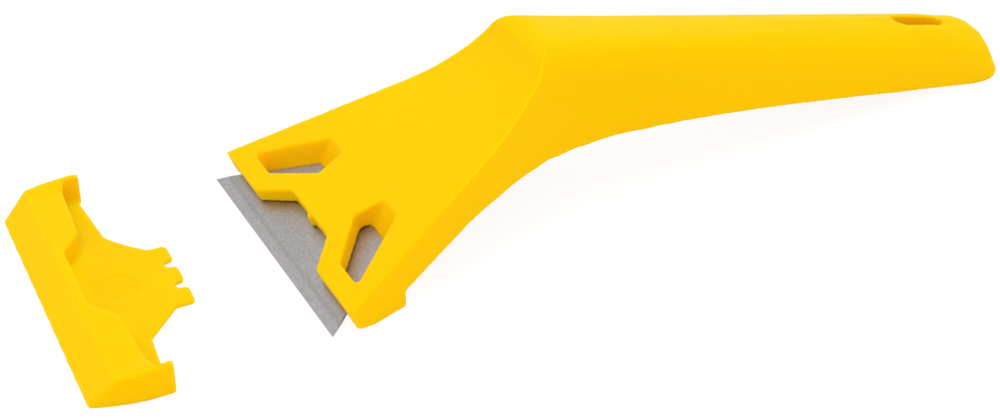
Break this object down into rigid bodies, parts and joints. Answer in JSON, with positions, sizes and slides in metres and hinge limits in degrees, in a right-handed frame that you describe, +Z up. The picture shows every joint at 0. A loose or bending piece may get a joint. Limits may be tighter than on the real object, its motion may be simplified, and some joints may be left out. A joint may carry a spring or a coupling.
{
  "type": "blade scraper",
  "caption": "Moulded plastic scraper with a trapezoidal utility blade held flat in its wide front, an angled hollow grip with a hanging slot, and a loose toothed cap for the blade.",
  "frame": {"origin": "middle of the blade's cutting edge, on the surface that the scraper lies on", "axes": "+X from the cutting edge along the surface towards the grip's end, +Z up from the surface, +Y to the scraper's right seen from its grip's end, looking towards the blade"},
  "size_m": [0.2216, 0.0702, 0.0363],
  "materials": {
    "yellow_plastic": "moulded, satin gloss",
    "blade_steel": "ground, dull grey",
    "cap_plastic": "moulded, satin gloss"
  },
  "bodies": {
    "handle": {"handle": "yellow_plastic"},
    "blade": {"blade": "blade_steel"},
    "cap": {"cap": "cap_plastic"}
  },
  "joints": [
    {"name": "blade_slide", "type": "slide", "parent": "handle", "child": "blade", "axis": [-0.9367, 0, -0.35], "range_m": [0, 0.016]},
    {"name": "cap_slide", "type": "slide", "parent": "handle", "child": "cap", "axis": [1, 0, 0], "range_m": [-0.05, 0.015]}
  ]
}
